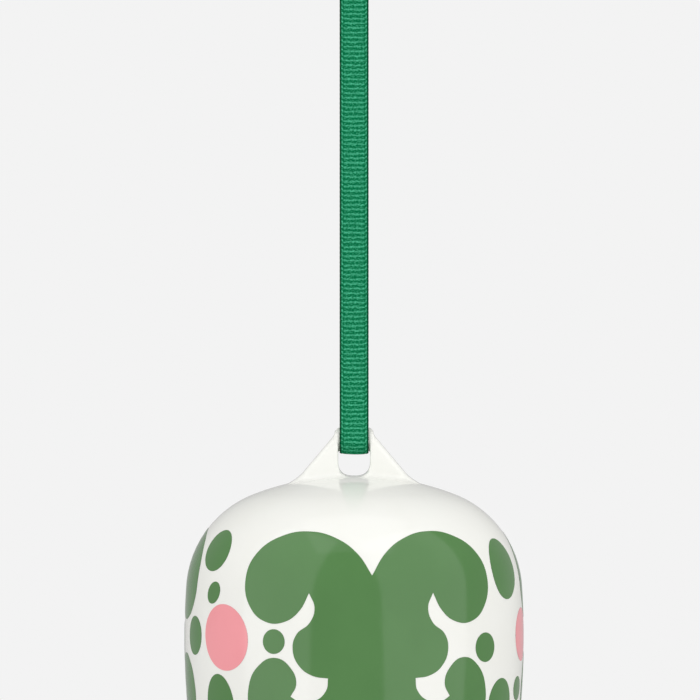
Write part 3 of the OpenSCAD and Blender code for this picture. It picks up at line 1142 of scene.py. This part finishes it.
    def build(self) -> None:
        """Makes the glazed pieces."""
        material = self.glaze.material()
        dress(self.body(), material, Body.BELL, ["bell_shell", "hanging_lug"])
        dress(self.eye(), material, Body.BELL, ["clapper_eye"])


# ------------------------------------------------------------------------------------------------
# The decoration


@dataclass(frozen=True)
class Dot:
    """An oval dot.

    Attributes:
        u: Distance round the bell from the front, at the widest level.
        v: Distance along the side above the widest level.
        wide: Half its width.
        tall: Half its height.
        tilt: Degrees that its top leans to the right.
    """

    u: float
    v: float
    wide: float
    tall: float
    tilt: float = 0.0


# Half of the scroll leaf, from the notch on top down to the tip, as distance from its middle,
# distance above the widest level, and whether the outline has a corner there
SCROLL_LEAF = [
    (0, 14, True), (3, 18.6, False), (7.6, 22, False), (14, 23.7, False), (20.8, 22.6, False),
    (26.2, 18.6, False), (28, 13, False), (26.6, 7.6, False), (22.4, 4.4, False), (18, 4.6, False),
    (15, 6.8, False), (13, 10.4, True), (11.8, 7.4, False), (12.8, 4.4, False), (15.6, 2, False),
    (16.4, -1, False), (15, -4.4, False), (12.2, -6.3, False), (9, -6.8, True), (9.4, -9.2, False),
    (11.8, -11.4, False), (14.6, -11.8, False), (17, -10.6, True), (15.7, -8, False), (16.8, -4.9, False),
    (20.2, -2.8, False), (24.4, -4.6, False), (26.9, -9, False), (26.6, -14, False), (23, -18.4, False),
    (18.4, -19.2, False), (14.6, -16.6, True), (12.6, -19, False), (13.4, -22.6, False), (11.6, -26.4, False),
    (8, -28.4, False), (4.6, -28.8, True), (3.4, -32.6, False), (0, -37.4, True)]


@dataclass
class Decoration:
    """Scroll leaves and dots, painted under the glaze and laid on as thin shells.

    Attributes:
        shape: The side of the bell.
        lip_z: Height of the lip in the frame, in millimetres.
        leaf_u: Distance round the bell to the middle of the front leaf.
        leaf_count: Number of leaves round the bell.
        cell: Size of the cells that the flat shapes are cut into before they are wrapped.
        proud: How far the paint stands off the porcelain.
        curve_steps: Points in each stretch of the leaf's outline.
    """

    shape: BellShape
    lip_z: float
    green: Glaze
    pink: Glaze
    leaf_u: float = 3.7
    leaf_count: int = 3
    cell: float = 1.8
    proud: float = 0.05
    curve_steps: int = 12

    def pitch(self) -> float:
        """Distance from leaf to leaf, round the bell at its widest level."""
        return math.pi * self.shape.diameter / self.leaf_count

    def gaps(self) -> list[float]:
        """Middles of the gaps between leaves, as distances round the bell: left, right and behind."""
        return [self.leaf_u + share * self.pitch() for share in (-0.5, 0.5, 1.5)]

    def green_dots(self) -> list[Dot]:
        """Green dots in the gap left of the front leaf, right of it, and behind."""
        left, right, back = self.gaps()
        front = [Dot(left - 3, 19, 4.5, 5, -60), Dot(left - 1, 10, 2, 2.5, 45), Dot(left - 9, 1, 3.5, 4),
                 Dot(left + 16, 0.5, 2.5, 2.5), Dot(left + 1, -13, 4.5, 6.5, -5), Dot(left - 7, -20, 2, 2.5, 10)]
        side = [Dot(right - 1, 15, 5.5, 6.5, 5), Dot(right - 10, -1, 3, 3), Dot(right - 4, -13, 4.5, 5.5, 5),
                Dot(right + 5, -10, 2.5, 2.5)]
        rear = [Dot(back - 1, 17, 3.5, 6, 15), Dot(back - 12, 1, 3, 3), Dot(back + 12, -1, 2.5, 3),
                Dot(back + 1, -13, 4, 5, -10)]
        sides = [(gap, turn) for gap in self.gaps() for turn in (-1, 1)]
        low = [Dot(gap + 12.5 * turn, -27, 3.5, 4.5, 15 * turn) for gap, turn in sides]
        low += [Dot(gap + 6.5 * turn, -35, 2, 1.5) for gap, turn in sides]
        low += [Dot(gap + 20.5 * turn, -34.5, 3, 2.5, 10 * turn) for gap, turn in sides]
        return front + side + rear + low

    def pink_dots(self) -> list[Dot]:
        """Pink dots, one at the level of the leaf's middle and one near the lip in every gap."""
        left, right, back = self.gaps()
        high = [Dot(left + 3, 1, 6.5, 7, -45), Dot(right + 8, 1, 5, 5.5, 5), Dot(back, 2, 6.5, 7, -5)]
        return high + [Dot(gap, -27.5, 5, 5.5) for gap in self.gaps()]

    def flat_leaf(self, shift: float) -> bpy.types.Object:
        """Draws the scroll leaf flat, as one filled outline.

        Args:
            shift: Distance round the bell to the leaf's middle.

        Returns:
            The flat leaf, in the XY plane.
        """
        other = [(-x, y, corner) for x, y, corner in reversed(SCROLL_LEAF[1:-1])]
        knots = SCROLL_LEAF + other
        curve = bpy.data.curves.new("leaf", "CURVE")
        curve.dimensions = "2D"
        curve.fill_mode = "BOTH"
        curve.resolution_u = self.curve_steps
        spline = curve.splines.new("BEZIER")
        spline.bezier_points.add(len(knots) - 1)
        spline.use_cyclic_u = True
        for point, (x, y, corner) in zip(spline.bezier_points, knots, strict=True):
            point.co = ((x + shift) * MM, y * MM, 0)
            point.handle_left_type = point.handle_right_type = "VECTOR" if corner else "AUTO"
        leaf = bpy.data.objects.new("leaf", curve)
        bpy.context.scene.collection.objects.link(leaf)
        pick(leaf)
        bpy.ops.object.convert(target="MESH")
        leaf = bpy.context.object
        edit(leaf)
        bpy.ops.mesh.remove_doubles(threshold=MERGE)
        bpy.ops.mesh.dissolve_faces()
        leave_edit()
        return leaf

    def flat_dot(self, dot: Dot) -> bpy.types.Object:
        """Draws a dot flat: a disc, scaled, tilted and moved in edit mode."""
        bpy.ops.mesh.primitive_circle_add(vertices=72, radius=MM, fill_type="NGON")
        piece = bpy.context.object
        edit(piece)
        bpy.ops.transform.resize(value=(dot.wide, dot.tall, 1))
        bpy.ops.transform.rotate(value=math.radians(dot.tilt), orient_axis="Z", center_override=(0, 0, 0))
        bpy.ops.transform.translate(value=(dot.u * MM, dot.v * MM, 0))
        leave_edit()
        return piece

    def lay_on(self, name: str, flats: list[bpy.types.Object]) -> bpy.types.Object:
        """Cuts flat shapes into small cells, thickens them and wraps them round the bell.

        Args:
            name: Name of the painted layer.
            flats: The flat shapes.

        Returns:
            The layer, as thin closed shells.
        """
        piece = join(name, *flats)
        low, high = vertices(piece).min(0), vertices(piece).max(0)
        edit(piece)
        for axis in (0, 1):
            way = tuple(float(k == axis) for k in range(3))
            for level in np.arange(low[axis] + 0.37 * self.cell * MM, high[axis], self.cell * MM):
                bpy.ops.mesh.select_all(action="SELECT")
                bpy.ops.mesh.bisect(plane_co=tuple(level * w for w in way), plane_no=way)
        bpy.ops.mesh.select_all(action="SELECT")
        bpy.ops.mesh.quads_convert_to_tris(quad_method="BEAUTY", ngon_method="BEAUTY")
        leave_edit()
        for face in piece.data.polygons:
            if face.normal.z < 0:
                face.flip()
        apply_modifier(piece, "SOLIDIFY", thickness=2 * self.proud * MM, offset=0.0)
        smooth(piece)
        flat = vertices(piece)
        under = np.array([face.normal.z < -0.5 for face in piece.data.polygons])
        places, ways = self.wrapped(flat / MM)
        place_vertices(piece, places * MM)
        normals = np.zeros((len(piece.data.loops), 3))
        for face, down in zip(piece.data.polygons, under):
            for loop in face.loop_indices:
                normals[loop] = ways[piece.data.loops[loop].vertex_index] * (-1 if down else 1)
        piece.data.normals_split_custom_set(normals.tolist())
        return piece

    def wrapped(self, flat: np.ndarray) -> tuple[np.ndarray, np.ndarray]:
        """Wraps flat points round the bell.

        Args:
            flat: Distance round the bell, along its side and off its face, in millimetres.

        Returns:
            Places in the frame in millimetres, and outward directions there.
        """
        turn = flat[:, 0] / (self.shape.diameter / 2)
        point, out = self.shape.on_side(flat[:, 1], flat[:, 2])
        across, back = np.sin(turn), -np.cos(turn)
        places = np.stack([point[:, 0] * across, point[:, 0] * back, point[:, 1] + self.lip_z], axis=1)
        ways = np.stack([out[:, 0] * across, out[:, 0] * back, out[:, 1]], axis=1)
        return places, ways

    def build(self) -> None:
        """Lays on the green and the pink."""
        leaves = [self.flat_leaf(self.leaf_u + k * self.pitch()) for k in range(-1, self.leaf_count - 1)]
        green = self.lay_on("green_underglaze", leaves + [self.flat_dot(dot) for dot in self.green_dots()])
        dress(green, self.green.material(), Body.BELL)
        pink = self.lay_on("pink_underglaze", [self.flat_dot(dot) for dot in self.pink_dots()])
        dress(pink, self.pink.material(), Body.BELL)


# ------------------------------------------------------------------------------------------------
# The clapper


@dataclass
class Clapper:
    """Jump ring, pin, bead and crimp. Heights are above the lip, in millimetres."""

    lip_z: float
    glaze: Glaze
    ring_height: float = 64.45
    ring_r: float = 3.2
    ring_wire: float = 0.5
    ring_slit: float = 0.1
    pin_eye_height: float = 60.65
    pin_eye_r: float = 1.7
    pin_wire: float = 0.45
    bead_height: float = 18.5
    bead_r: float = 8.5
    bead_flat_r: float = 2.0
    bore_r: float = 0.55
    head_r: float = 1.8
    head_t: float = 0.7
    crimp_r: float = 1.1
    crimp_bore: float = 0.47
    crimp_l: float = 2.0

    def __post_init__(self) -> None:
        """Finds the bead's flats."""
        self.bead_half = math.sqrt(self.bead_r**2 - self.bead_flat_r**2)

    def jump_ring(self) -> bpy.types.Object:
        """Bends the jump ring, open by a hair where its ends meet."""
        gap = math.degrees(self.ring_slit / 2 / self.ring_r)
        around = circle_points(self.ring_r, gap, 360 - gap, 97)
        line = [(0.0, y, z + self.ring_height + self.lip_z) for y, z in around]
        return sweep("jump_ring_wire", line, self.ring_wire, 24)

    def pin(self) -> bpy.types.Object:
        """Forms the pin: a shank with a turned head, and an eye bent at its top."""
        foot = self.bead_height - self.bead_half
        neck = self.pin_eye_height - self.pin_eye_r
        start = self.pin_eye_height
        loop = [(x, 0.0, z + start) for x, z in circle_points(self.pin_eye_r, -78, 262, 72)]
        shank = [(0.0, 0.0, foot - 0.2), (0.0, 0.0, foot + 6), (0.0, 0.0, foot + 20), (0.0, 0.0, neck - 6),
                 (0.0, 0.0, neck - 1.2), (0.0, 0.0, neck - 0.55), (0.06, 0.0, neck - 0.12)]
        line = through(shank + loop, 0.22)
        wire = sweep("wire", [(x, y, z + self.lip_z) for x, y, z in line], self.pin_wire, 20)
        r, t = self.head_r, self.head_t
        outline = [(0, foot), (r - 0.18, foot), (r - 0.05, foot - 0.06), (r, foot - 0.2), (r, foot - 0.42),
                   (r - 0.1, foot - 0.58), (r - 0.4, foot - t + 0.06), (r - 0.9, foot - t), (0, foot - t)]
        head = spin("head", [(x, z + self.lip_z) for x, z in outline], 64)
        smooth(head, 40)
        return join("clapper_pin_wire", wire, head)

    def bead(self) -> bpy.types.Object:
        """Turns the bead, with its bore and the two flats."""
        edge = math.degrees(math.asin(self.bead_half / self.bead_r))
        ball = circle_points(self.bead_r, edge - 1.2, 1.2 - edge, 90)
        lip, half = 0.18, self.bead_half
        top = [(self.bore_r, half - lip), (self.bore_r + 0.05, half - 0.05), (self.bore_r + lip, half),
               (self.bead_flat_r - 0.25, half)]
        bottom = [(x, -z) for x, z in reversed(top)]
        outline = top + ball + bottom + [top[0]]
        height = self.bead_height + self.lip_z
        piece = spin("bead_glazed", [(x, z + height) for x, z in outline], 128)
        smooth(piece, 40)
        return piece

    def crimp(self) -> bpy.types.Object:
        """Turns the crimp tube and squeezes its waist."""
        foot = self.bead_height + self.bead_half
        r, b, length = self.crimp_r, self.crimp_bore, self.crimp_l
        levels = np.linspace(0.12, length - 0.12, 13)
        outer = [(r, z) for z in levels]
        outline = [(b, 0), (r - 0.1, 0), *outer, (r - 0.1, length), (b, length), (b, length / 2), (b, 0)]
        piece = spin("crimp_tube", [(x, z + foot + self.lip_z) for x, z in outline], 48)
        places = vertices(piece)
        level = (places[:, 2] / MM - self.lip_z - foot) / length - 0.5
        pinch = 1 - 0.16 * np.exp(-((level / 0.2) ** 2)) * (np.hypot(places[:, 0], places[:, 1]) > 0.8 * MM)
        places[:, 1] *= pinch
        place_vertices(piece, places)
        smooth(piece, 40)
        return piece

    def build(self) -> None:
        """Makes the ring, the pin, the bead and the crimp."""
        brass = BrassWire().material()
        dress(self.jump_ring(), brass, Body.RING, ["jump_ring"])
        dress(self.pin(), brass, Body.CLAPPER, ["clapper_pin"])
        dress(self.bead(), self.glaze.material(), Body.CLAPPER, ["clapper_bead"])
        dress(self.crimp(), brass, Body.CLAPPER, ["bead_crimp"])


def main() -> None:
    """Builds everything, the camera and the ribbon first."""
    logging.basicConfig(level=logging.INFO, format="%(name)s: %(message)s")
    studio = Studio()
    studio.camera()
    RibbonLoop().build()
    low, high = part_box("bell_shell")
    lip_z = low.z / MM
    shape = BellShape(height=(high.z - low.z) / MM)
    white = Glaze("porcelain_glaze", (0.892, 0.892, 0.842, 1), (0.906, 0.906, 0.862, 1), bare_below=low.z + 0.35 * MM)
    PorcelainBell(shape, LugShape(shape.crown_r), lip_z, white).build()
    green = Glaze("green_underglaze", (0.074, 0.203, 0.054, 1), (0.080, 0.214, 0.059, 1))
    pink = Glaze("pink_underglaze", (0.91, 0.322, 0.352, 1), (0.93, 0.342, 0.372, 1))
    Decoration(shape, lip_z, green, pink).build()
    Clapper(lip_z, Glaze("bead_glaze", (0.85, 0.86, 0.82, 1), (0.87, 0.875, 0.845, 1))).build()
    studio.light()
    studio.floor()


if __name__ == "__main__":
    main()
